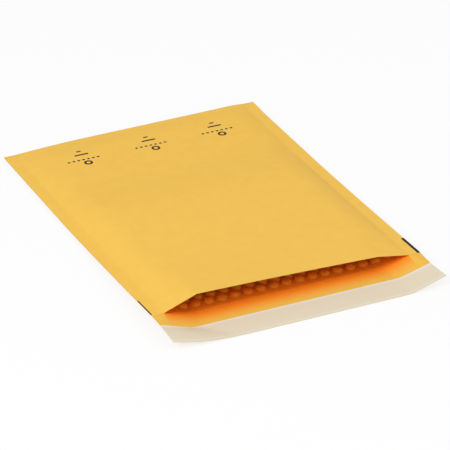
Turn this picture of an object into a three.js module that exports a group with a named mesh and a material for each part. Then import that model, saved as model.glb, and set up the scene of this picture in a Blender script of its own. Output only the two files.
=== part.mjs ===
// A padded envelope: a kraft paper pouch lined with bubble film, lying flat with its mouth held open.
// Millimetres, +Z up. X runs across the pouch, and Y from the mouth towards the bottom fold.
// Heights are worked out in the pouch's own frame, with y = 0 at the cut edge of the front panel, and the
// group is moved at the end so that its origin is under the middle of the whole envelope.

import * as THREE from 'three';

// The pouch
const pouchWidth = 264;
const pouchDepth = 352;
const flapLength = 50;
const seamWidth = 11.4;

// The sheets
const kraftThickness = 0.35;
const filmThickness = 0.35;
const linerThickness = 0.25;
const adhesiveThickness = 0.2;
const clearance = 0.3;

// The bubbles of the lining
const bubblePitch = 12.7;
const bubbleHeight = 3.2;
const bubbleTopShare = 0.56;
const crushedStrip = 5;
const liningSetback = 6;
const flatToppedRows = 3;

// The strips on the flap
const linerWidth = 30;
const adhesiveWidth = 22;
const adhesiveEndInset = 3;

// How the mouth is held open
const shoulderWidth = 32;
const plateauHeight = 15;
const leftMouthBulge = 6;
const bulgeReach = 120;
const plateauEnd = 190;
const plateauFall = 60;
const softShoulderFrom = 60;
const foldThickness = { left: 6.0, right: 7.4 };
const foldTaper = 28;

// How the edges lift off the table, at the middle of the seam's thickness
const seamAtRest = { left: 2.3, right: 3.7 };
const seamLiftAtMouth = { left: 6.9, right: 5.4 };
const seamLiftReach = 205;
const seamLiftCurve = 1.4;
const flapTipHeight = { left: 6.5, right: 10.5 };
const flapTipDraw = { left: 4, right: 0 };
const flapKneeRun = 20;
const footCurve = 1.3;

// Facets
const mouthSteps = 8;
const fallSteps = 5;
const taperSteps = 4;
const foldSteps = 4;
const flapSteps = 5;

// Worked out from the sizes above
const liningDepth = kraftThickness + clearance;
const bubbleFloor = liningDepth + filmThickness;
const halfSeam = bubbleFloor + clearance / 2;
const padThickness = 2 * (halfSeam + bubbleHeight);
const pouchHalf = pouchWidth / 2;
const pocketHalf = pouchHalf - seamWidth;
const halfPitch = bubblePitch / 2;
const rowPitch = bubblePitch * Math.sqrt(3) / 2;
const cellsAcross = Math.floor(2 * (pocketHalf - crushedStrip) / bubblePitch);
const fieldHalf = cellsAcross * halfPitch;
const shoulderColumns = Math.max(1, Math.round((shoulderWidth - pocketHalf + fieldHalf) / halfPitch));
const flatHalf = fieldHalf - shoulderColumns * halfPitch;
const foldStart = pouchDepth - Math.max(foldThickness.left, foldThickness.right) / 2;
const taperStart = pouchDepth - foldTaper;

const { clamp, lerp, smoothstep } = THREE.MathUtils;

function steps(from, to, count) {
  return Array.from({ length: count }, (_, i) => lerp(from, to, (i + 1) / count));
}

// The columns and stations where the paper bends. Between them every sheet is straight.
const rightColumns = [
  flatHalf,
  ...steps(flatHalf, fieldHalf, shoulderColumns),
  pocketHalf,
  pouchHalf,
];
const columns = [...rightColumns.map((x) => -x).reverse(), ...rightColumns];
const panelStations = [
  0,
  ...steps(0, plateauEnd, mouthSteps),
  ...steps(plateauEnd, plateauEnd + plateauFall, fallSteps),
  taperStart,
  ...steps(taperStart, foldStart, taperSteps),
];
const flapStations = steps(0, -flapLength, flapSteps);
const stations = [...flapStations].reverse().concat(panelStations);

function sideOf(x) {
  return x < 0 ? 'left' : 'right';
}

// The middle of the sealed edge's thickness above the table, along the pouch and out along the flap.
function edgeHeight(side, y) {
  const atMouth = seamAtRest[side] + seamLiftAtMouth[side];
  if (y < 0) return lerp(atMouth, flapTipHeight[side], -y / flapLength);
  const left = clamp(1 - y / seamLiftReach, 0, 1);
  return seamAtRest[side] + seamLiftAtMouth[side] * left ** seamLiftCurve;
}

// The height of the front panel between its shoulders: held open by the mouth, then the padding's own
// thickness, and pressed down along the bottom fold.
function crownHeight(x, y) {
  const across = clamp((x + flatHalf) / (2 * flatHalf), 0, 1);
  const held = 1 - smoothstep(y, plateauEnd, plateauEnd + plateauFall);
  const pressed = lerp(foldThickness.left, foldThickness.right, across);
  const padding = lerp(padThickness, pressed, smoothstep(y, taperStart, foldStart));
  const bulge = leftMouthBulge * clamp(1 - y / bulgeReach, 0, 1) ** 2;
  return lerp(padding, plateauHeight, held) + bulge * (1 - across);
}

// The outer face of the front panel: flat seams, soft shoulders, and the crown between them. At the mouth
// the paper is pulled tight, and its shoulders are straight.
function frontFace(x, y) {
  const up = clamp((pocketHalf - Math.abs(x)) / (pocketHalf - flatHalf), 0, 1);
  const soft = clamp(y / softShoulderFrom, 0, 1);
  const rise = lerp(up, smoothstep(up, 0, 1), soft);
  return lerp(edgeHeight(sideOf(x), y) + halfSeam, crownHeight(x, y), rise);
}

// The outer face of the back panel and the flap: flat on the table, turned up towards both edges.
function backFace(x, y) {
  const knee = lerp(pocketHalf, pouchHalf, clamp(-y / flapKneeRun, 0, 1));
  const out = clamp((Math.abs(x) - flatHalf) / (knee - flatHalf), 0, 1);
  const edge = edgeHeight(sideOf(x), y) - halfSeam;
  return edge * out ** footCurve;
}

function bracket(list, value) {
  let i = 0;
  while (i < list.length - 2 && value > list[i + 1]) i += 1;
  return [list[i], list[i + 1], clamp((value - list[i]) / (list[i + 1] - list[i]), 0, 1)];
}

// A face's height at any point: straight between the columns and between the stations.
function heightOf(face, x, y) {
  const [x0, x1, s] = bracket(columns, x);
  const [y0, y1, t] = bracket(stations, y);
  return lerp(lerp(face(x0, y0), face(x1, y0), s), lerp(face(x0, y1), face(x1, y1), s), t);
}

// Points of a sheet that lies at a depth under the pouch's outer face.
function onFront(x, y, depth) {
  return new THREE.Vector3(x, y, heightOf(frontFace, x, y) - depth);
}

function onBack(x, y, depth) {
  return new THREE.Vector3(x, drawnIn(x, y), heightOf(backFace, x, y) + depth);
}

// A flap tip that curls up reaches less far out than the flap's middle.
function drawnIn(x, y) {
  const out = clamp((Math.abs(x) - flatHalf) / (pouchHalf - flatHalf), 0, 1);
  return y * (1 - clamp(-Math.sign(y), 0, 1) * out ** 2 * flapTipDraw[sideOf(x)] / flapLength);
}

// The round of the bottom fold, whose radius is half the pouch's thickness there.
function onFold(x, angle, depth) {
  const top = heightOf(frontFace, x, foldStart);
  const bottom = heightOf(backFace, x, foldStart);
  const radius = (top - bottom) / 2;
  return new THREE.Vector3(
    x,
    pouchDepth - radius + (radius - depth) * Math.cos(angle),
    (top + bottom) / 2 + (radius - depth) * Math.sin(angle),
  );
}

// A closed body, collected triangle by triangle. Corners are given anticlockwise seen from outside.
class Body {
  constructor() {
    this.positions = [];
  }

  triangle(a, b, c) {
    for (const corner of [a, b, c]) this.positions.push(corner.x, corner.y, corner.z);
  }

  quad(a, b, c, d) {
    this.triangle(a, b, c);
    this.triangle(a, c, d);
  }

  // The faces between two rows of points that run the same way, with the second row on the left.
  ribbon(row, next) {
    let i = 0;
    let j = 0;
    while (i < row.length - 1 || j < next.length - 1) {
      const rowX = i < row.length - 1 ? row[i + 1].x : Infinity;
      const nextX = j < next.length - 1 ? next[j + 1].x : Infinity;
      if (rowX <= nextX) {
        this.triangle(row[i], row[i + 1], next[j]);
        i += 1;
      } else {
        this.triangle(row[i], next[j + 1], next[j]);
        j += 1;
      }
    }
  }

  mesh(name, material) {
    const geometry = new THREE.BufferGeometry();
    geometry.setAttribute('position', new THREE.Float32BufferAttribute(this.positions, 3));
    geometry.computeVertexNormals();
    const mesh = new THREE.Mesh(geometry, material);
    mesh.name = name;
    return mesh;
  }
}

// A sheet between an outer and an inner set of rows, each row running from the left edge to the right one.
// The inner faces can be left to the caller, as the lining's are.
function closeSheet(body, outer, inner, withInnerFaces = true) {
  for (let r = 0; r + 1 < outer.length; r += 1) {
    body.ribbon(outer[r], outer[r + 1]);
    if (withInnerFaces) body.ribbon(inner[r + 1], inner[r]);
    body.quad(outer[r][0], outer[r + 1][0], inner[r + 1][0], inner[r][0]);
    body.quad(outer[r + 1].at(-1), outer[r].at(-1), inner[r].at(-1), inner[r + 1].at(-1));
  }
  body.ribbon(inner[0], outer[0]);
  body.ribbon(outer.at(-1), inner.at(-1));
}

const foldAngles = steps(Math.PI / 2, -Math.PI / 2, foldSteps);

// The kraft cover, from the front panel's cut edge round the bottom fold to the flap's outer edge.
function kraftCover(material) {
  const places = [
    ...panelStations.slice(0, -1).map((y) => (x, depth) => onFront(x, y, depth)),
    ...[Math.PI / 2, ...foldAngles].map((angle) => (x, depth) => onFold(x, angle, depth)),
    ...panelStations.slice(0, -1).reverse().map((y) => (x, depth) => onBack(x, y, depth)),
    ...flapStations.map((y) => (x, depth) => onBack(x, y, depth)),
  ];
  const rowsAt = (depth) => places.map((place) => columns.map((x) => place(x, depth)));
  const body = new Body();
  closeSheet(body, rowsAt(0), rowsAt(kraftThickness));
  return body.mesh('kraft_cover', material);
}

// The bubble rows of one panel lie between zigzag rows of valley points, which are the corners of the
// bubbles' six-sided cells. Bubbles stand on every second point, and each row is shifted by half a pitch.
const firstBubbleRow = liningSetback + rowPitch;
const bubbleRows = Math.floor((foldStart - rowPitch - firstBubbleRow) / rowPitch) + 1;
const cellColumns = 2 * cellsAcross;

function rowCentre(row) {
  return firstBubbleRow + row * rowPitch;
}

function isCentre(column, row) {
  return (column + row) % 2 === 1;
}

function valleyY(column, row) {
  return rowCentre(row) - rowPitch * (isCentre(column, row) ? 2 : 1) / 3;
}

const fieldColumns = Array.from({ length: cellColumns + 1 }, (_, c) => (c - cellsAcross) * halfPitch);

// A bubble is as high as the pocket leaves it room, so those beside the seams are crushed.
function bubbleRise(x, y) {
  const pocket = heightOf(frontFace, x, y) - heightOf(backFace, x, y);
  return clamp(pocket / 2 - halfSeam, 0, bubbleHeight);
}

// One bubble over its cell's corners, given anticlockwise seen from inside the pocket.
function addBubble(body, corners, x, y, onPanel, flatTopped) {
  const depth = bubbleFloor + bubbleRise(x, y);
  if (!flatTopped) {
    const peak = onPanel(x, y, depth);
    corners.forEach((corner, i) => body.triangle(corner, corners[(i + 1) % 6], peak));
    return;
  }
  const top = corners.map((corner) => onPanel(
    lerp(x, corner.x, bubbleTopShare),
    lerp(y, corner.y, bubbleTopShare),
    depth,
  ));
  corners.forEach((corner, i) => {
    const j = (i + 1) % 6;
    body.quad(corner, corners[j], top[j], top[i]);
  });
  for (let i = 1; i < 5; i += 1) body.triangle(top[0], top[i], top[i + 1]);
}

// The bubble side of one panel, between two zigzag rows. Facing is 1 on the back panel and -1 on the front.
function addBubbleRow(body, near, far, row, onPanel, facing) {
  const first = columns.indexOf(-fieldHalf);
  for (let c = 0; c <= cellColumns; c += 1) {
    if (!isCentre(c, row)) continue;
    const cell = [-1, 0, 1].filter((step) => c + step >= 0 && c + step <= cellColumns);
    const lower = cell.map((step) => near[first + c + step]);
    const upper = cell.map((step) => far[first + c + step]).reverse();
    const corners = [...lower, ...upper];
    if (facing < 0) corners.reverse();
    if (corners.length === 6) {
      addBubble(body, corners, fieldColumns[c], rowCentre(row), onPanel, row < flatToppedRows);
    } else {
      body.quad(...corners);
    }
  }
  const margins = [[0, first + 1], [first + cellColumns, first + cellColumns + first + 1]];
  for (const [from, to] of margins) {
    const nearEdge = near.slice(from, to);
    const farEdge = far.slice(from, to);
    if (facing < 0) body.ribbon(farEdge, nearEdge);
    else body.ribbon(nearEdge, farEdge);
  }
}

// The bubble lining: one folded sheet, flat against the cover, with its bubbles facing into the pocket.
function bubbleLining(material) {
  const margin = columns.filter((x) => x < -fieldHalf);
  const innerColumns = [...margin, ...fieldColumns, ...margin.map((x) => -x).reverse()];
  const edgeRow = (onPanel) => ({
    outer: columns.map((x) => onPanel(x, liningSetback, liningDepth)),
    inner: innerColumns.map((x) => onPanel(x, liningSetback, bubbleFloor)),
  });
  const foldRow = (angle) => ({
    outer: columns.map((x) => onFold(x, angle, liningDepth)),
    inner: innerColumns.map((x) => onFold(x, angle, bubbleFloor)),
  });
  const zigzagRow = (onPanel, row) => {
    const yAt = (i) => valleyY(clamp(i - margin.length, 0, cellColumns), row);
    return {
      outer: columns.map((x) => onPanel(x, yAt(0), liningDepth)),
      inner: innerColumns.map((x, i) => onPanel(x, yAt(i), bubbleFloor)),
    };
  };
  const zigzags = Array.from({ length: bubbleRows + 1 }, (_, row) => row);
  const front = zigzags.map((row) => zigzagRow(onFront, row));
  const back = zigzags.map((row) => zigzagRow(onBack, row));
  const fold = [Math.PI / 2, ...foldAngles].map(foldRow);
  const rows = [edgeRow(onFront), ...front, ...fold, ...back.slice().reverse(), edgeRow(onBack)];

  const body = new Body();
  closeSheet(body, rows.map((row) => row.outer), rows.map((row) => row.inner), false);
  for (let row = 0; row < bubbleRows; row += 1) {
    addBubbleRow(body, front[row].inner, front[row + 1].inner, row, onFront, -1);
    addBubbleRow(body, back[row].inner, back[row + 1].inner, row, onBack, 1);
  }
  const plain = [[rows[0], front[0]], [back[0], rows.at(-1)], [front.at(-1), fold[0]], [fold.at(-1), back.at(-1)]];
  for (let i = 0; i + 1 < fold.length; i += 1) plain.push([fold[i], fold[i + 1]]);
  for (const [near, far] of plain) body.ribbon(far.inner, near.inner);
  return body.mesh('bubble_lining', material);
}

// A strip on the flap's inner face, between two distances from the flap's outer edge.
function flapStrip(name, from, to, endInset, depth, thickness, material) {
  const ends = columns.map((x) => clamp(x, endInset - pouchHalf, pouchHalf - endInset));
  const near = -flapLength + from;
  const far = -flapLength + to;
  const between = flapStations.filter((y) => y > near && y < far).reverse();
  const rowsAt = (height) => [near, ...between, far].map((y) => ends.map((x) => onBack(x, y, height)));
  const body = new Body();
  closeSheet(body, rowsAt(depth + thickness), rowsAt(depth));
  return body.mesh(name, material);
}

const kraftPaper = new THREE.MeshStandardMaterial({ color: 0xf2c158, roughness: 0.8, metalness: 0 });
const clearFilm = new THREE.MeshStandardMaterial({ color: 0xe0a552, roughness: 0.25, metalness: 0 });
const hotMelt = new THREE.MeshStandardMaterial({ color: 0xe8dcae, roughness: 0.4, metalness: 0 });
const coatedPaper = new THREE.MeshStandardMaterial({ color: 0xe1dac0, roughness: 0.5, metalness: 0 });

const envelope = new THREE.Group();
envelope.add(kraftCover(kraftPaper));
envelope.add(bubbleLining(clearFilm));

const adhesiveDepth = kraftThickness + clearance;
const adhesiveFrom = (linerWidth - adhesiveWidth) / 2;
envelope.add(flapStrip(
  'adhesive_strip',
  adhesiveFrom,
  adhesiveFrom + adhesiveWidth,
  adhesiveEndInset,
  adhesiveDepth,
  adhesiveThickness,
  hotMelt,
));
const linerDepth = adhesiveDepth + adhesiveThickness + clearance;
envelope.add(flapStrip('release_liner', 0, linerWidth, 0, linerDepth, linerThickness, coatedPaper));

envelope.position.y = -(pouchDepth - flapLength) / 2;

export default envelope;
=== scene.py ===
"""Padded envelope: a kraft paper pouch lined with bubble film, mouth held open and flap laid out."""

import math

import bpy
from mathutils import Matrix, Vector


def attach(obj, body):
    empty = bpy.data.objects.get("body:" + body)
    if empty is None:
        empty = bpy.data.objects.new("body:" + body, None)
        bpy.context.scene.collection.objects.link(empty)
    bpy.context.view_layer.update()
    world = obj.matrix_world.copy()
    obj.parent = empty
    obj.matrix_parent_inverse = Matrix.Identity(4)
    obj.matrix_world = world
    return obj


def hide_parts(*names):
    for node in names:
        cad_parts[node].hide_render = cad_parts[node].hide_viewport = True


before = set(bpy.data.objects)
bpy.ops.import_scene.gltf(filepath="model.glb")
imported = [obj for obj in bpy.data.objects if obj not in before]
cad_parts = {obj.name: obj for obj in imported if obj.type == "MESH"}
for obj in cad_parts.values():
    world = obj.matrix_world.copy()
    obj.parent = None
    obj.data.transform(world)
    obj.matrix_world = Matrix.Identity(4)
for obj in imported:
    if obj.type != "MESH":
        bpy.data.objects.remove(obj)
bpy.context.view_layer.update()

bl_info = {
    "name": "Padded envelope",
    "version": (1, 0, 0),
    "blender": (4, 5, 0),
    "location": "View3D > Sidebar > Envelope",
    "description": "Builds a self-seal kraft envelope with a bubble film lining",
    "category": "Add Mesh",
}

MM = 0.001
WHITE = (1, 1, 1, 1)


def linear(code):
    """Turn an sRGB hex colour into the linear colour that a shader takes."""
    parts = [int(code[i : i + 2], 16) / 255 for i in (1, 3, 5)]
    return tuple(c / 12.92 if c <= 0.04045 else ((c + 0.055) / 1.055) ** 2.4 for c in parts)


# Settings


def length(name, description, millimetres):
    """A size that the panel shows as a distance."""
    return bpy.props.FloatProperty(
        name=name,
        description=description,
        default=millimetres * MM,
        min=0,
        subtype="DISTANCE",
        unit="LENGTH",
    )


def colour(name, description, code):
    """A colour that the panel shows as a swatch."""
    return bpy.props.FloatVectorProperty(
        name=name,
        description=description,
        default=linear(code),
        min=0,
        max=1,
        size=3,
        subtype="COLOR",
    )


class PouchSettings(bpy.types.PropertyGroup):
    width: length("Width", "Pouch over its two side seams", 264)
    depth: length("Depth", "Front panel from its cut edge to the bottom fold", 352)
    flap: length("Flap", "How far the closing flap reaches past the cut edge", 50)
    seam: length("Seam", "Width of the heat-sealed side seams", 11.4)
    paper: length("Paper", "Thickness of the kraft paper, a little over the real 0.12 mm", 0.22)
    film: length("Film", "Thickness of the flat film behind the bubbles", 0.08)
    crown: length("Crown", "Height of the front panel where the mouth is held open", 15)
    bulge: length("Bulge", "Extra height at the left end of the mouth", 6)
    padding: length("Padding", "Thickness of the pouch where nothing is inside it", 8.7)
    bubble_pitch: length("Bubble pitch", "Distance between neighbouring bubbles", 12.7)
    bubble_width: length("Bubble width", "Diameter of a bubble at its foot", 10.4)
    bubble_height: length("Bubble height", "Height of a full bubble", 3.2)
    liner: length("Liner", "Width of the release liner on the flap", 30)
    adhesive: length("Adhesive", "Width of the hot-melt strip under the liner", 22)


class FinishSettings(bpy.types.PropertyGroup):
    kraft: colour("Kraft", "Outer face of the golden kraft paper", "#F3C354")
    kraft_inside: colour("Kraft inside", "Inner face of the kraft paper on the flap", "#EEB94A")
    # Painted shade: a deep orange that stands for the dim light inside the pocket, on the same kraft as the
    # flap.
    painted_pocket_shade: colour("Painted pocket shade", "Inner face lit through paper and film only", "#FB8C18")
    ink: colour("Ink", "Printed bars and marks", "#26221F")
    # Partly painted light: the clear film is coloured deep orange, for the kraft seen through it and for
    # the orange light in the pocket.
    film: colour("Film", "Clear bubble film, in the colour of the kraft behind it", "#FF9420")
    liner: colour("Liner", "Silicone-coated release paper", "#E5DCC6")
    adhesive: colour("Adhesive", "Hot-melt pressure-sensitive adhesive", "#E8DCAE")
    floor: colour("Floor", "Studio floor", "#F7F7F7")


def pouch_sizes():
    return bpy.context.scene.envelope_sizes


def finishes():
    return bpy.context.scene.envelope_finish


# The folded shape

LINING_SETBACK = 6 * MM


def lerp(a, b, t):
    return a + (b - a) * t


def clamp(t):
    return min(max(t, 0.0), 1.0)


def smooth(t):
    t = clamp(t)
    return t * t * (3 - 2 * t)


def bend(t, radius):
    """A straight rise from 0 to 1 that starts with a soft bend."""
    t = clamp(t)
    rise = t * t / (2 * radius) if t < radius else t - radius / 2
    return rise / (1 - radius / 2)


class Pouch:
    """Where each point of the flat sheets comes to lie when they are folded and sealed.

    x runs across the pouch and y from the front panel's cut edge towards the bottom fold, in metres. A
    folded sheet is measured along its own length: up the front panel, round the fold and back to the flap.
    A pair of heights or places is for the left and the right side.
    """

    # The side seams: half their thickness at the mouth and further in, and the height of their middle
    seam_half = (0.23 * MM, 0.42 * MM)
    seam_filled_from = 5 * MM
    edge_rest = (2.3 * MM, 4.1 * MM)
    edge_mouth = (9.2 * MM, 9.0 * MM)
    edge_lift_reach = 205 * MM
    edge_lift_curve = 1.4
    corner_lift = (0.0, 0.9 * MM)

    # The front panel: its shoulders, and how far from the mouth each part of its shape reaches
    shoulder = 43.1 * MM
    shoulder_curve = 2.8
    shoulder_foot_share = 0.2
    taut_reach = 60 * MM
    bow = 0.5 * MM
    bow_reach = 60 * MM
    bulge_reach = 120 * MM
    held_reach = 175 * MM
    held_fall = 90 * MM

    # The bottom fold: half the length of sheet round it, and the pouch's thickness beside it
    fold_run = 6 * MM
    fold_height = (6.0 * MM, 7.4 * MM)
    left_flat_at_fold = 50 * MM
    right_flat_gain = 8 * MM

    # What changes towards the fold: how far before it the change starts, and over what length
    corner_rise = (30 * MM, 26 * MM)
    fold_taper = (28 * MM, 24 * MM)
    shoulder_spread = (70 * MM, 66 * MM)

    # The flap: the heights of each edge at the mouth, at the liner and at its tip, and its curl
    flap_edge = ((8.8 * MM, 8.9 * MM, 6.3 * MM), (8.9 * MM, 8.1 * MM, 10.3 * MM))
    tip_draw = (4.6 * MM, 0.0)
    to_liner = 20 * MM
    to_tip = 30 * MM
    curl_from_at_liner = 98 * MM
    curl_from_at_tip = (62 * MM, 93.5 * MM)
    curl_bend = 0.2
    left_tip_curve = 1.7
    foot_curve = 1.3

    def __init__(self, sizes):
        self.sizes = sizes
        self.half = sizes.width / 2
        self.pocket = self.half - sizes.seam
        self.flat = self.half - self.shoulder
        # Beside the bottom fold the left shoulder runs out wide, and the right one is narrower.
        self.flat_at_fold = (self.left_flat_at_fold, self.flat + self.right_flat_gain)
        self.length = 2 * sizes.depth + sizes.flap

    def near_fold(self, y, start, run):
        """0 up to a distance before the bottom fold, and from there a soft rise to 1."""
        return smooth((y - self.sizes.depth + start) / run)

    def edge(self, side, y):
        """Height of the middle of a side seam, lifted towards the mouth, and on the right at the fold."""
        lift = clamp(1 - y / self.edge_lift_reach) ** self.edge_lift_curve
        corner = self.corner_lift[side] * self.near_fold(y, *self.corner_rise)
        return lerp(self.edge_rest[side], self.edge_mouth[side], lift) + corner

    def half_seam(self, y):
        """Half the seam's thickness: only paper at the mouth, with film between it further in."""
        return lerp(*self.seam_half, smooth(y / self.seam_filled_from))

    def curled_edge(self, side, y):
        """Height of the flap's end, through its heights at the mouth, at the liner and at its tip."""
        t, inner, outer = -y, self.sizes.flap - self.sizes.liner, self.sizes.flap
        mouth, liner, tip = self.flap_edge[side]
        return (
            mouth * (1 - t / inner) * (1 - t / outer)
            + liner * t * (outer - t) / (inner * (outer - inner))
            + tip * t * (t - inner) / (outer * (outer - inner))
        )

    def front(self, x, y):
        """Outer face of the front panel: flat seams, soft shoulders and the crown between them."""
        side = int(x > 0)
        across = clamp((x + self.flat) / (2 * self.flat))
        pressed = lerp(*self.fold_height, across)
        low = lerp(self.sizes.padding, pressed, self.near_fold(y, *self.fold_taper))
        held = 1 - smooth((y - self.held_reach) / self.held_fall)
        bow = self.bow * math.sin(math.pi * across) * clamp(1 - y / self.bow_reach)
        bulge = self.sizes.bulge * clamp(1 - y / self.bulge_reach) ** 2 * (1 - across)
        crown = lerp(low, self.sizes.crown, held) + bulge + bow
        flat = lerp(self.flat, self.flat_at_fold[side], self.near_fold(y, *self.shoulder_spread))
        up = clamp((self.pocket - abs(x)) / (self.pocket - flat))
        # At the mouth the paper is pulled taut over its shoulders, and further in they are round.
        rounded = lerp(1 - (1 - up) ** self.shoulder_curve, smooth(up), self.shoulder_foot_share)
        rise = lerp(up, rounded, clamp(y / self.taut_reach))
        return lerp(self.edge(side, y) + self.half_seam(y), crown, rise)

    def back(self, x, y):
        """Outer face of the back panel and flap: flat on the table and curled up at both sides."""
        side = int(x > 0)
        if y >= 0:
            out = clamp((abs(x) - self.flat) / (self.pocket - self.flat))
            return (self.edge(side, y) - self.half_seam(y)) * out**self.foot_curve
        # From the mouth to the liner the curl moves out, and from there it widens again on the left.
        run, far = clamp(-y / self.to_liner), clamp((-y - self.to_liner) / self.to_tip)
        start = lerp(lerp(self.flat, self.curl_from_at_liner, run), self.curl_from_at_tip[side], far)
        out = clamp((abs(x) - start) / (lerp(self.pocket, self.half, run) - start))
        straight = bend(out, self.curl_bend)
        curve = lerp(straight, (out**self.left_tip_curve, straight)[side], far)
        return self.curled_edge(side, y) * lerp(out**self.foot_curve, curve, run)

    def on_back(self, x, y, inside):
        """A point of a sheet that lies this far inside the back panel's outer face."""
        drawn = clamp((abs(x) - self.flat) / (self.half - self.flat)) ** 2 * self.tip_draw[int(x > 0)]
        if y < 0:
            y = y * (1 - drawn / self.sizes.flap)
        return Vector((x, y, self.back(x, y) + inside))

    def place(self, x, along, inside):
        """A point of a folded sheet, inside the envelope's outer face by the given distance."""
        depth, run = self.sizes.depth, self.fold_run
        if along <= depth - run:
            return Vector((x, along, self.front(x, along) - inside))
        if along >= depth + run:
            return self.on_back(x, 2 * depth - along, inside)
        top, bottom = self.front(x, depth), self.back(x, depth)
        radius = (top - bottom) / 2
        angle = math.pi / 2 * (depth - along) / run
        out = depth - radius + (radius - inside) * math.cos(angle)
        return Vector((x, out, (top + bottom) / 2 + (radius - inside) * math.sin(angle)))


def spread(start, end, step):
    """Places from start to end at about the given step, without the start."""
    count = max(1, round(abs(end - start) / step))
    return [lerp(start, end, (i + 1) / count) for i in range(count)]


def columns_across(pouch, step):
    """Lines along a folded sheet, close together on the shoulders and in the seams."""
    shoulder_step, seam_step = 2 * MM, 2.85 * MM
    right = [*spread(0, pouch.flat, step), *spread(pouch.flat, pouch.pocket, shoulder_step)]
    right += spread(pouch.pocket, pouch.half, seam_step)
    return [*(-x for x in reversed(right)), 0.0, *right]


def stations_along(pouch, start, end, step):
    """Lines across a folded sheet, close together at the mouth and round the bottom fold."""
    depth, run = pouch.sizes.depth, pouch.fold_run
    mouth, mouth_step = 12 * MM, 1.5 * MM
    taper, taper_step, fold_step = 26 * MM, 1.8 * MM, 0.9 * MM
    flap_step = 2 * MM
    lines = [start]
    lines += spread(start, mouth, mouth_step)
    lines += spread(mouth, depth - taper, step)
    lines += spread(depth - taper, depth - run, taper_step)
    lines += spread(depth - run, depth + run, fold_step)
    lines += spread(depth + run, depth + taper, taper_step)
    lines += spread(depth + taper, 2 * depth, step)
    if end > 2 * depth:
        lines += spread(2 * depth, end, flap_step)
    else:
        lines = [y for y in lines if y < end] + [end]
    return lines


# Mesh helpers

CREASE_ANGLE = 50


def select_only(piece):
    bpy.ops.object.select_all(action="DESELECT")
    piece.select_set(True)
    bpy.context.view_layer.objects.active = piece


def lay_blank(name, columns, stations):
    """Lay out a flat sheet with lines at the given places, and its own measure in metres as UV map."""
    bpy.ops.object.select_all(action="DESELECT")
    across, along = len(columns) - 1, len(stations) - 1
    bpy.ops.mesh.primitive_grid_add(x_subdivisions=across, y_subdivisions=along, size=1)
    sheet = bpy.context.object
    sheet.name = sheet.data.name = name
    for point in sheet.data.vertices:
        column, station = round((point.co.x + 0.5) * across), round((point.co.y + 0.5) * along)
        point.co = (columns[column], stations[station], 0)
    measure = sheet.data.uv_layers.active
    measure.name = "Sheet"
    for corner in sheet.data.loops:
        measure.data[corner.index].uv = sheet.data.vertices[corner.vertex_index].co.xy
    return sheet


def to_origin(sizes):
    """From the pouch's own frame to the envelope's, whose origin is under its middle, flap included."""
    return Vector((0, -(sizes.depth - sizes.flap) / 2, 0))


def shape(piece, place):
    """Bring every point of a flat piece to its place."""
    shift = to_origin(pouch_sizes())
    for point in piece.data.vertices:
        point.co = place(point.co) + shift
    piece.data.update()


def thicken(piece, thickness, offset, inner_material=0):
    """Give a sheet its thickness, on the side that the offset names: -1 behind its faces, 1 before them."""
    select_only(piece)
    wall = piece.modifiers.new("Thickness", "SOLIDIFY")
    wall.thickness = thickness
    wall.offset = offset
    wall.use_even_offset = True
    wall.material_offset = inner_material
    bpy.ops.object.modifier_apply(modifier=wall.name)


def finish_piece(piece, node):
    """Smooth a piece, hang it on the root body and hide the imported part that it stands for."""
    select_only(piece)
    bpy.ops.object.shade_smooth_by_angle(angle=math.radians(CREASE_ANGLE))
    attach(piece, "root")
    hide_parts(node)


# Materials

# A mask's edge is a fifth of a millimetre wide, so a mask climbs by 5000 in a metre.
MASK_SLOPE = 5000.0


def fill(node, inputs):
    """Give each named or numbered input of a node a value, or a link from a socket or another node."""
    for socket, value in inputs.items():
        if isinstance(value, bpy.types.Node):
            value = next(output for output in value.outputs if output.enabled)
        if isinstance(value, bpy.types.NodeSocket):
            node.id_data.links.new(value, node.inputs[socket])
        else:
            node.inputs[socket].default_value = value


def add_node(tree, kind, inputs=None, **settings):
    """Add a node, set its settings and fill its inputs."""
    node = tree.nodes.new(kind)
    for key, value in settings.items():
        setattr(node, key, value)
    fill(node, inputs or {})
    return node


def new_material(name):
    material = bpy.data.materials.new(name)
    material.use_nodes = True
    return material, material.node_tree, material.node_tree.nodes["Principled BSDF"]


def shaded(base, shares):
    """A colour for a shader, whose red, green and blue are shares of a base colour's."""
    return (*(min(1.0, c * share) for c, share in zip(base, shares)), 1)


def distance_from(tree, value, middle):
    gap = add_node(tree, "ShaderNodeMath", {0: value, 1: middle}, operation="SUBTRACT")
    return add_node(tree, "ShaderNodeMath", {0: gap}, operation="ABSOLUTE")


def within(tree, distance, reach):
    """1 where a distance is less than the reach, with a soft edge."""
    return add_node(
        tree,
        "ShaderNodeMath",
        {0: distance, 1: -MASK_SLOPE, 2: reach * MASK_SLOPE + 0.5},
        operation="MULTIPLY_ADD",
        use_clamp=True,
    )


def box_mask(tree, across, along, centre, size):
    """1 inside a rectangle on the sheet."""
    sides = [
        within(tree, distance_from(tree, value, middle), width / 2)
        for value, middle, width in zip((across, along), centre, size)
    ]
    return add_node(tree, "ShaderNodeMath", {0: sides[0], 1: sides[1]}, operation="MULTIPLY")


def ring_mask(tree, measure, centre, radius, line):
    """1 on the line of a circle on the sheet."""
    far = add_node(tree, "ShaderNodeVectorMath", {0: measure, 1: (*centre, 0)}, operation="DISTANCE")
    return within(tree, distance_from(tree, far, radius), line / 2)


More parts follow.
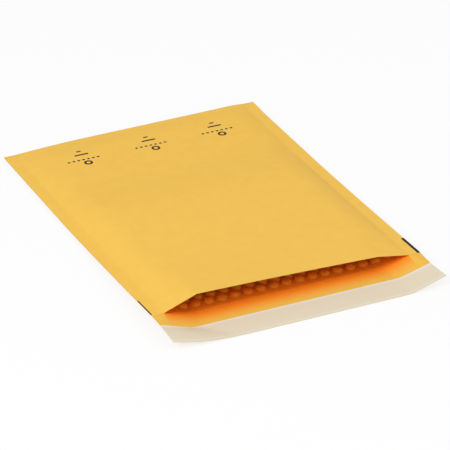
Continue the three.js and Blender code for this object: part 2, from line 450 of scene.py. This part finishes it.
def printed_marks(tree, measure, across, along):
    """Cutting marks on the seams and three groups of plain generic shapes near the fold."""
    # The cutting marks run off the sheet's edges beside the mouth: the middle and the size of each.
    right_cut = (130.6 * MM, 16 * MM), (3.0 * MM, 32 * MM)
    left_cut = (-132.0 * MM, 16.5 * MM), (2.0 * MM, 30 * MM)
    # Each group has a ring, a dashed row and two bars, at these distances from the mouth.
    groups = (-67.5 * MM, 2.5 * MM, 72.5 * MM)
    ring_at, ring_radius, ring_line = 295.5 * MM, 3.2 * MM, 2.2 * MM
    row_at, row_shift, row_size = 303 * MM, 2 * MM, (37 * MM, 2.3 * MM)
    dash = 2.5 * MM
    bars = (313.6 * MM, (14 * MM, 2.4 * MM)), (320.8 * MM, (4.6 * MM, 2.2 * MM))

    masks = [box_mask(tree, across, along, *mark) for mark in (right_cut, left_cut)]
    for middle in groups:
        masks.append(ring_mask(tree, measure, (middle, ring_at), ring_radius, ring_line))
        masks += [box_mask(tree, across, along, (middle, bar_at), size) for bar_at, size in bars]
        row_middle = middle - row_shift
        row = box_mask(tree, across, along, (row_middle, row_at), row_size)
        off = add_node(tree, "ShaderNodeMath", {0: across, 1: row_middle}, operation="SUBTRACT")
        step = add_node(tree, "ShaderNodeMath", {0: off, 1: dash}, operation="PINGPONG")
        dashes = within(tree, step, dash / 2)
        masks.append(add_node(tree, "ShaderNodeMath", {0: row, 1: dashes}, operation="MULTIPLY"))
    total = masks[0]
    for mask in masks[1:]:
        total = add_node(tree, "ShaderNodeMath", {0: total, 1: mask}, operation="MAXIMUM")
    return total


def bubble_imprint(tree, measure, sizes):
    """How far a point on the sheet is from the middle of the nearest bubble behind it."""
    pitch = sizes.bubble_pitch
    row_step = pitch * math.sqrt(3) / 2
    first_row = LINING_SETBACK + row_step
    # The staggered rows are two lattices of rectangular cells, with a bubble in the middle of each cell.
    cell = (pitch, pitch * math.sqrt(3), 1)
    high = tuple(c / 2 for c in cell)
    low = tuple(-c for c in high)
    near = []
    for bubble in ((pitch / 2, first_row, 0), (0, first_row + row_step, 0)):
        moved = add_node(tree, "ShaderNodeVectorMath", {0: measure, 1: bubble}, operation="SUBTRACT")
        wrapped = add_node(tree, "ShaderNodeVectorMath", {0: moved, 1: high, 2: low}, operation="WRAP")
        near.append(add_node(tree, "ShaderNodeVectorMath", {0: wrapped}, operation="LENGTH"))
    return add_node(tree, "ShaderNodeMath", {0: near[0], 1: near[1]}, operation="MINIMUM")


def kraft_colour(tree, measure, fibre, kraft):
    """The colour of the pulp, with darker clouds and paler fibres in it."""
    # The cloudy formation: patches about 14 mm across, and 3 mm flocks in them.
    cloud = add_node(
        tree,
        "ShaderNodeTexNoise",
        {"Vector": measure, "Scale": 70.0, "Detail": 3.0, "Roughness": 0.6},
    )
    shade = add_node(
        tree,
        "ShaderNodeMapRange",
        {"Value": cloud, "From Min": 0.35, "From Max": 0.7, "To Min": 0.0, "To Max": 0.36},
    )
    fleck = add_node(
        tree,
        "ShaderNodeMapRange",
        {"Value": fibre, "From Min": 0.5, "From Max": 0.8, "To Min": 0.0, "To Max": 0.5},
    )
    dark, pale = shaded(kraft, (0.93, 0.88, 0.74)), shaded(kraft, (1.03, 1.04, 1.12))
    clouded = add_node(
        tree, "ShaderNodeMix", {"Factor": shade, "A": (*kraft, 1), "B": dark}, data_type="RGBA"
    )
    return add_node(tree, "ShaderNodeMix", {"Factor": fleck, "A": clouded, "B": pale}, data_type="RGBA")


def paper_with_painted_pocket_shade(tree, across, along, sizes, finish, paper):
    """The inner face's colour, with painted shade: from the flap inwards it is painted a deep orange for
    the dim light that paper and film let into the pocket.
    """
    mouth, pocket = 2 * sizes.depth, sizes.width / 2 - sizes.seam
    on_flap, inside_mouth = mouth + 18 * MM, mouth - 2 * MM
    inwards = add_node(
        tree,
        "ShaderNodeMapRange",
        {"Value": along, "From Min": on_flap, "From Max": inside_mouth, "To Min": 0.0, "To Max": 1.0},
        interpolation_type="SMOOTHSTEP",
    )
    between_seams = add_node(tree, "ShaderNodeMath", {0: across, 1: 0.0, 2: pocket}, operation="COMPARE")
    filtered = add_node(tree, "ShaderNodeMath", {0: inwards, 1: between_seams}, operation="MULTIPLY")
    # Painted shade: inside the pocket the paper's colour goes over to this deep orange.
    deep = (*finish.painted_pocket_shade, 1)
    return add_node(tree, "ShaderNodeMix", {"Factor": filtered, "A": paper, "B": deep}, data_type="RGBA")


def kraft_relief(tree, measure, across, along, fibre, sizes):
    """The normal of paper with bubbles behind it, knurled seams and fibres."""
    # Heights in millimetres
    bubble_height, knurl_height, fibre_height = 0.12, 0.05, 0.03
    bubble_reach, knurl_pitch = 6.3 * MM, 2.2 * MM
    imprint = bubble_imprint(tree, measure, sizes)
    dome = add_node(
        tree,
        "ShaderNodeMapRange",
        {"Value": imprint, "From Min": 0.0, "From Max": bubble_reach, "To Min": 1.0, "To Max": 0.0},
        interpolation_type="SMOOTHSTEP",
    )
    height = add_node(tree, "ShaderNodeMath", {0: dome, 1: bubble_height}, operation="MULTIPLY")

    radians_per_metre = 2 * math.pi / knurl_pitch
    from_middle = add_node(tree, "ShaderNodeMath", {0: across}, operation="ABSOLUTE")
    knurl = add_node(
        tree, "ShaderNodeMath", {0: from_middle, 1: sizes.width / 2, 2: sizes.seam}, operation="COMPARE"
    )
    for axis in (across, along):
        turn = add_node(tree, "ShaderNodeMath", {0: axis, 1: radians_per_metre}, operation="MULTIPLY")
        wave = add_node(tree, "ShaderNodeMath", {0: turn}, operation="SINE")
        knurl = add_node(tree, "ShaderNodeMath", {0: knurl, 1: wave}, operation="MULTIPLY")

    for relief, share in ((knurl, knurl_height), (fibre, fibre_height)):
        height = add_node(
            tree, "ShaderNodeMath", {0: relief, 1: share, 2: height}, operation="MULTIPLY_ADD"
        )
    return add_node(tree, "ShaderNodeBump", {"Strength": 0.6, "Distance": MM, "Height": height})


def kraft_paper(name, sizes, finish, printed):
    """Golden machine-glazed kraft: matte, with long fibres and a cloudy formation.

    The bubbles behind it and the knurled bars of the heat seal press into it a little.
    """
    material, tree, shader = new_material(name)
    measure = add_node(tree, "ShaderNodeUVMap", uv_map="Sheet")
    axes = add_node(tree, "ShaderNodeSeparateXYZ", {0: measure}).outputs
    across, along = axes["X"], axes["Y"]
    # Fibres about 3 mm long and 0.4 mm wide, coarser than real ones so that they show.
    drawn = add_node(tree, "ShaderNodeMapping", {"Vector": measure, "Scale": (2400.0, 340.0, 1.0)})
    fibre = add_node(tree, "ShaderNodeTexNoise", {"Vector": drawn, "Scale": 1.0, "Detail": 2.0})
    if printed:
        paper = kraft_colour(tree, measure, fibre, finish.kraft)
        marks, ink = printed_marks(tree, measure, across, along), (*finish.ink, 1)
        face = add_node(tree, "ShaderNodeMix", {"Factor": marks, "A": paper, "B": ink}, data_type="RGBA")
    else:
        paper = kraft_colour(tree, measure, fibre, finish.kraft_inside)
        # Inside the pocket the inner face gets painted shade, a deep orange.
        face = paper_with_painted_pocket_shade(tree, across, along, sizes, finish, paper)
        # The front panel is thin enough to let some of the light on it through to its inner face.
        front = add_node(tree, "ShaderNodeMath", {0: along, 1: sizes.depth}, operation="LESS_THAN")
        thin = add_node(tree, "ShaderNodeMath", {0: front, 1: 0.85}, operation="MULTIPLY")
        fill(
            shader,
            {
                "Subsurface Weight": thin,
                "Subsurface Radius": (1.0, 0.5, 0.12),
                "Subsurface Scale": 1.2 * MM,
            },
        )
    fill(
        shader,
        {
            "Base Color": face,
            "Roughness": 0.72,
            "IOR": 1.45,
            "Specular IOR Level": 0.3,
            "Normal": kraft_relief(tree, measure, across, along, fibre, sizes),
        },
    )
    return material


def bubble_film(name, finish, haze_low, haze_high):
    """Clear low-density polyethylene, vacuum-formed: glossy and a little wavy.

    Its orange is partly the kraft seen through it and partly painted orange light of the pocket, so that
    light between the panels turns a deep orange.
    """
    material, tree, shader = new_material(name)
    place = add_node(tree, "ShaderNodeTexCoord").outputs["Object"]
    # Waves about 6 mm long.
    wave = add_node(tree, "ShaderNodeTexNoise", {"Vector": place, "Scale": 160.0, "Detail": 2.0})
    haze = add_node(tree, "ShaderNodeMapRange", {"Value": wave, "To Min": haze_low, "To Max": haze_high})
    rough = add_node(tree, "ShaderNodeMapRange", {"Value": wave, "To Min": 0.3, "To Max": 0.5})
    bump = add_node(tree, "ShaderNodeBump", {"Strength": 0.3, "Distance": MM, "Height": wave})
    fill(
        shader,
        {
            # The film's deep orange is in part painted light.
            "Base Color": (*finish.film, 1),
            "Alpha": haze,
            "Roughness": rough,
            "IOR": 1.51,
            "Specular IOR Level": 0.1,
            "Normal": bump,
        },
    )
    return material


def release_paper(sizes, finish):
    """Glassine with a silicone coat: smooth and faintly streaked along its length.

    The adhesive shows through as a warmer band, and the loose inner edge is whiter.
    """
    material, tree, shader = new_material("silicone_release_paper")
    measure = add_node(tree, "ShaderNodeUVMap", uv_map="Sheet")
    along = add_node(tree, "ShaderNodeSeparateXYZ", {0: measure}).outputs["Y"]
    # Streaks about 0.9 mm wide and 60 mm long.
    drawn = add_node(tree, "ShaderNodeMapping", {"Vector": measure, "Scale": (16.0, 1100.0, 1.0)})
    streak = add_node(tree, "ShaderNodeTexNoise", {"Vector": drawn, "Scale": 1.0, "Detail": 3.0})

    warm, white = shaded(finish.liner, (0.98, 0.9, 0.8)), shaded(finish.liner, (1.1, 1.16, 1.34))
    middle, half_band = -sizes.flap + sizes.liner / 2, sizes.adhesive / 2
    band = add_node(tree, "ShaderNodeMath", {0: along, 1: middle, 2: half_band}, operation="COMPARE")
    depth = add_node(tree, "ShaderNodeMath", {0: streak, 1: 0.9, 2: 0.1}, operation="MULTIPLY_ADD")
    tone = add_node(tree, "ShaderNodeMath", {0: depth, 1: band}, operation="MULTIPLY")
    pale = (*finish.liner, 1)
    tinted = add_node(tree, "ShaderNodeMix", {"Factor": tone, "A": pale, "B": warm}, data_type="RGBA")

    loose_from = -sizes.flap + sizes.liner - 1.1 * MM
    loose = add_node(tree, "ShaderNodeMath", {0: along, 1: loose_from}, operation="GREATER_THAN")
    edged = add_node(tree, "ShaderNodeMix", {"Factor": loose, "A": tinted, "B": white}, data_type="RGBA")
    bump = add_node(tree, "ShaderNodeBump", {"Strength": 0.15, "Distance": MM, "Height": streak})
    fill(shader, {"Base Color": edged, "Roughness": 0.42, "IOR": 1.43, "Normal": bump})
    return material


def hot_melt(finish):
    """Pressure-sensitive hot melt, slot-coated: tacky, glossy and slightly uneven."""
    material, tree, shader = new_material("hot_melt_adhesive")
    place = add_node(tree, "ShaderNodeTexCoord").outputs["Object"]
    # Ridges about 1 mm wide and 33 mm long.
    drawn = add_node(tree, "ShaderNodeMapping", {"Vector": place, "Scale": (30.0, 900.0, 900.0)})
    ridge = add_node(tree, "ShaderNodeTexNoise", {"Vector": drawn, "Scale": 1.0, "Detail": 2.0})
    clear, deep = (*finish.adhesive, 1), shaded(finish.adhesive, (0.93, 0.88, 0.75))
    tone = add_node(tree, "ShaderNodeMix", {"Factor": ridge, "A": clear, "B": deep}, data_type="RGBA")
    bump = add_node(tree, "ShaderNodeBump", {"Strength": 0.2, "Distance": MM, "Height": ridge})
    fill(shader, {"Base Color": tone, "Roughness": 0.3, "IOR": 1.48, "Normal": bump})
    return material


def studio_floor(finish):
    """Matte white paper sweep that the camera sees as white, with the shadow left in it."""
    white_share = 0.8
    material, tree, shader = new_material("white_paper_sweep")
    fill(shader, {"Base Color": (*finish.floor, 1), "Roughness": 0.9})
    rays = add_node(tree, "ShaderNodeLightPath").outputs
    seen = rays["Is Camera Ray"]
    for ray in ("Is Glossy Ray", "Is Transmission Ray"):
        seen = add_node(tree, "ShaderNodeMath", {0: seen, 1: rays[ray]}, operation="MAXIMUM")
    share = add_node(tree, "ShaderNodeMath", {0: seen, 1: white_share}, operation="MULTIPLY")
    glow = add_node(tree, "ShaderNodeEmission", {"Color": WHITE, "Strength": 1.0})
    mixed = add_node(tree, "ShaderNodeMixShader", {0: share, 1: shader, 2: glow})
    fill(tree.nodes["Material Output"], {"Surface": mixed})
    return material


# Pieces


class ENVELOPE_OT_kraft_cover(bpy.types.Operator):
    """Fold one kraft sheet into front panel, bottom fold, back panel and flap"""

    bl_idname = "envelope.kraft_cover"
    bl_label = "Kraft cover"
    bl_options = {"REGISTER", "UNDO"}

    step = 3.6 * MM

    def execute(self, context):
        sizes, finish = pouch_sizes(), finishes()
        pouch = Pouch(sizes)
        columns = columns_across(pouch, self.step)
        stations = stations_along(pouch, 0.0, pouch.length, self.step)
        cover = lay_blank("kraft_paper_cover", columns, stations)
        shape(cover, lambda flat: pouch.place(flat.x, flat.y, 0.0))
        cover.data.materials.append(kraft_paper("printed_kraft_paper", sizes, finish, True))
        cover.data.materials.append(kraft_paper("plain_kraft_paper", sizes, finish, False))
        thicken(cover, sizes.paper, -1, inner_material=1)
        finish_piece(cover, "kraft_cover")
        return {"FINISHED"}


class ENVELOPE_OT_bubble_lining(bpy.types.Operator):
    """Fold the bubble film into the pouch and stand its bubbles on it"""

    bl_idname = "envelope.bubble_lining"
    bl_label = "Bubble lining"
    bl_options = {"REGISTER", "UNDO"}

    gap = 0.1 * MM
    step_across, step_along = 6.35 * MM, 5 * MM
    sheet_haze, bubble_haze = (0.04, 0.12), (0.5, 0.65)
    sides = 12
    # Each ring up a bubble: its rise as a share of the height, and its width as a share of the ring below
    rings = ((0.62, 0.9), (0.3, 0.72))
    crushed_strip = 5 * MM
    fold_radius = 3.7 * MM
    least_share = 0.15

    def execute(self, context):
        sizes, finish = pouch_sizes(), finishes()
        pouch = Pouch(sizes)
        depth = sizes.paper + self.gap
        columns = columns_across(pouch, self.step_across)
        end = 2 * sizes.depth - LINING_SETBACK
        stations = stations_along(pouch, LINING_SETBACK, end, self.step_along)
        lining = lay_blank("bubble_film_lining", columns, stations)
        shape(lining, lambda flat: pouch.place(flat.x, flat.y, depth))
        thicken(lining, sizes.film, -1)
        lining.data.materials.append(bubble_film("clear_flat_film", finish, *self.sheet_haze))

        bubble = self.one_bubble(sizes)
        bubbles = self.all_bubbles(pouch, bubble, depth + sizes.film * 0.5)
        bubbles.data.materials.append(bubble_film("clear_bubble_film", finish, *self.bubble_haze))
        select_only(lining)
        bubbles.select_set(True)
        bpy.ops.object.join()
        bpy.data.objects.remove(bubble)
        finish_piece(lining, "bubble_lining")
        return {"FINISHED"}

    def one_bubble(self, sizes):
        """A flat-topped dome of 36 faces, modelled once at the origin."""
        bpy.ops.object.select_all(action="DESELECT")
        radius, height = sizes.bubble_width / 2, sizes.bubble_height
        bpy.ops.mesh.primitive_circle_add(vertices=self.sides, radius=radius, fill_type="NGON")
        bubble = bpy.context.object
        bpy.ops.object.mode_set(mode="EDIT")
        bpy.ops.mesh.select_all(action="SELECT")
        for rise, width in self.rings:
            bpy.ops.mesh.extrude_region_move(TRANSFORM_OT_translate={"value": (0, 0, rise * height)})
            bpy.ops.transform.resize(value=(width, width, 1), center_override=(0, 0, 0))
        bpy.ops.mesh.poke()
        bpy.ops.object.mode_set(mode="OBJECT")
        # The top's middle is level with its rim until it is lifted to the full height.
        top = max(bubble.data.vertices, key=lambda point: point.co.z - 0.01 * point.co.xy.length)
        top.co.z = height
        return bubble

    def all_bubbles(self, pouch, bubble, foot):
        """Copies of the bubble in staggered rows on both panels, lower where they have less room."""
        sizes = pouch.sizes
        half_pitch, row_step = sizes.bubble_pitch / 2, sizes.bubble_pitch * math.sqrt(3) / 2
        cells = int(2 * (pouch.pocket - self.crushed_strip) / sizes.bubble_pitch)
        rows = int((sizes.depth - self.fold_radius - 2 * row_step - LINING_SETBACK) / row_step) + 1
        shape_of_one = [point.co.copy() for point in bubble.data.vertices]
        faces_of_one = [list(face.vertices) for face in bubble.data.polygons]
        points, faces = [], []
        for row in range(rows):
            y = LINING_SETBACK + (row + 1) * row_step
            for column in range(1, 2 * cells):
                if (column + row) % 2 == 0:
                    continue
                x = (column - cells) * half_pitch
                room = (pouch.front(x, y) - pouch.back(x, y)) / 2 - foot
                share = clamp(room / sizes.bubble_height)
                if share < self.least_share:
                    continue
                for front in (True, False):
                    first = len(points)
                    for corner in shape_of_one:
                        along = y + corner.y if front else 2 * sizes.depth - y + corner.y
                        points.append(pouch.place(x + corner.x, along, foot + corner.z * share))
                    for face in faces_of_one:
                        faces.append([first + i for i in reversed(face)])
        shift = to_origin(sizes)
        mesh = bpy.data.meshes.new("bubbles")
        mesh.from_pydata([point + shift for point in points], [], faces)
        mesh.uv_layers.new(name="Sheet")
        bubbles = bpy.data.objects.new("bubbles", mesh)
        bpy.context.collection.objects.link(bubbles)
        return bubbles


class ENVELOPE_OT_flap_strips(bpy.types.Operator):
    """Lay the adhesive strip and its release liner on the flap"""

    bl_idname = "envelope.flap_strips"
    bl_label = "Adhesive and release liner"
    bl_options = {"REGISTER", "UNDO"}

    adhesive_gap, adhesive_thickness, adhesive_end_inset = 0.02 * MM, 0.08 * MM, 3 * MM
    liner_lift, liner_thickness = 0.1 * MM, 0.1 * MM
    step_across, step_along = 2.4 * MM, 2 * MM

    def execute(self, context):
        sizes, finish = pouch_sizes(), finishes()
        pouch = Pouch(sizes)
        on_paper = sizes.paper + self.adhesive_gap
        half = pouch.half - self.adhesive_end_inset
        adhesive = self.lay_strip(pouch, "adhesive_band", sizes.adhesive, half, on_paper)
        thicken(adhesive, self.adhesive_thickness, 1)
        adhesive.data.materials.append(hot_melt(finish))
        finish_piece(adhesive, "adhesive_strip")

        on_adhesive = on_paper + self.liner_lift
        liner = self.lay_strip(pouch, "release_paper_liner", sizes.liner, pouch.half, on_adhesive)
        thicken(liner, self.liner_thickness, 1)
        liner.data.materials.append(release_paper(sizes, finish))
        finish_piece(liner, "release_liner")
        return {"FINISHED"}

    def lay_strip(self, pouch, name, width, half, depth):
        """One strip on the flap, centred on the middle line of the release liner."""
        middle = -pouch.sizes.flap + pouch.sizes.liner / 2
        columns = [-half, *spread(-half, half, self.step_across)]
        near, far = middle - width / 2, middle + width / 2
        strip = lay_blank(name, columns, [near, *spread(near, far, self.step_along)])
        shape(strip, lambda flat: pouch.on_back(flat.x, flat.y, depth))
        return strip


class ENVELOPE_OT_stage(bpy.types.Operator):
    """Set the floor, the soft lights and the camera"""

    bl_idname = "envelope.stage"
    bl_label = "Stage"
    bl_options = {"REGISTER", "UNDO"}

    floor_size = 12
    sky_strength = 0.585
    # Each soft box: its place and the side of its square in metres, and its power in watts
    soft_boxes = {
        "key_softbox": ((-1.8, -0.7, 2.0), 1.6, 31),
        "fill_softbox": ((1.9, -0.4, 1.9), 1.8, 12.5),
        "mouth_softbox": ((-0.8, -2.4, 0.6), 1.0, 12),
    }
    # The camera: its angles in degrees, what it looks at and how far off, and its focal length in pixels
    azimuth, elevation, roll = -24.637, 28.262, -0.620
    target, distance = (0.002959, -0.011532, 0), 2.9541
    focal_length, picture_width = 3205.2, 450

    def execute(self, context):
        scene = context.scene
        bpy.ops.object.select_all(action="DESELECT")
        bpy.ops.mesh.primitive_plane_add(size=self.floor_size, location=(0, 0, 0))
        floor = context.object
        floor.name = "floor"
        floor.data.materials.append(studio_floor(finishes()))
        self.sky(scene)
        self.lights(scene)
        self.camera(scene)
        scene.view_settings.view_transform = "Standard"
        return {"FINISHED"}

    def sky(self, scene):
        """A soft white sky, which the camera sees as plain white."""
        world = bpy.data.worlds.new("studio")
        scene.world = world
        world.use_nodes = True
        tree = world.node_tree
        rays = add_node(tree, "ShaderNodeLightPath").outputs
        soft = tree.nodes["Background"]
        fill(soft, {"Color": WHITE, "Strength": self.sky_strength})
        white = add_node(tree, "ShaderNodeBackground", {"Color": WHITE, "Strength": 1.0})
        mixed = add_node(tree, "ShaderNodeMixShader", {0: rays["Is Camera Ray"], 1: soft, 2: white})
        fill(tree.nodes["World Output"], {"Surface": mixed})

    def lights(self, scene):
        """Soft boxes that face the origin."""
        for name, (place, side, power) in self.soft_boxes.items():
            lamp = bpy.data.lights.new(name, "AREA")
            lamp.shape = "SQUARE"
            lamp.size, lamp.energy = side, power
            box = bpy.data.objects.new(name, lamp)
            box.location = place
            box.rotation_euler = (-Vector(place)).to_track_quat("-Z", "Y").to_euler()
            scene.collection.objects.link(box)

    def camera(self, scene):
        """The camera stands about 3 m away, in front of the mouth and to its left, with a long lens."""
        azimuth, elevation, roll = map(math.radians, (self.azimuth, self.elevation, self.roll))
        back = Vector(
            (
                math.sin(azimuth) * math.cos(elevation),
                -math.cos(azimuth) * math.cos(elevation),
                math.sin(elevation),
            )
        )
        level = Vector((math.cos(azimuth), math.sin(azimuth), 0))
        above = back.cross(level)
        right = level * math.cos(roll) + above * math.sin(roll)
        up = above * math.cos(roll) - level * math.sin(roll)
        lens = bpy.data.cameras.new("camera")
        lens.sensor_width = 36
        lens.lens = self.focal_length / self.picture_width * lens.sensor_width
        lens.clip_end = 50
        camera = bpy.data.objects.new("camera", lens)
        turn = Matrix((right, up, back)).transposed().to_4x4()
        camera.matrix_world = Matrix.Translation(Vector(self.target) + back * self.distance) @ turn
        scene.collection.objects.link(camera)
        scene.camera = camera


class ENVELOPE_PT_panel(bpy.types.Panel):
    """Sizes, finishes and building steps of the padded envelope"""

    bl_idname = "ENVELOPE_PT_panel"
    bl_label = "Padded envelope"
    bl_space_type = "VIEW_3D"
    bl_region_type = "UI"
    bl_category = "Envelope"

    def draw(self, context):
        for group in (context.scene.envelope_sizes, context.scene.envelope_finish):
            column = self.layout.column()
            for name in group.__annotations__:
                column.prop(group, name)
        for operator in OPERATORS:
            self.layout.operator(operator.bl_idname)


OPERATORS = (
    ENVELOPE_OT_stage,
    ENVELOPE_OT_kraft_cover,
    ENVELOPE_OT_bubble_lining,
    ENVELOPE_OT_flap_strips,
)
CLASSES = (PouchSettings, FinishSettings, *OPERATORS, ENVELOPE_PT_panel)


def register():
    for cls in CLASSES:
        bpy.utils.register_class(cls)
    bpy.types.Scene.envelope_sizes = bpy.props.PointerProperty(type=PouchSettings)
    bpy.types.Scene.envelope_finish = bpy.props.PointerProperty(type=FinishSettings)


def unregister():
    del bpy.types.Scene.envelope_sizes
    del bpy.types.Scene.envelope_finish
    for cls in reversed(CLASSES):
        bpy.utils.unregister_class(cls)


def main():
    register()
    bpy.ops.envelope.stage()
    bpy.ops.envelope.kraft_cover()
    bpy.ops.envelope.bubble_lining()
    bpy.ops.envelope.flap_strips()


if __name__ == "__main__":
    main()
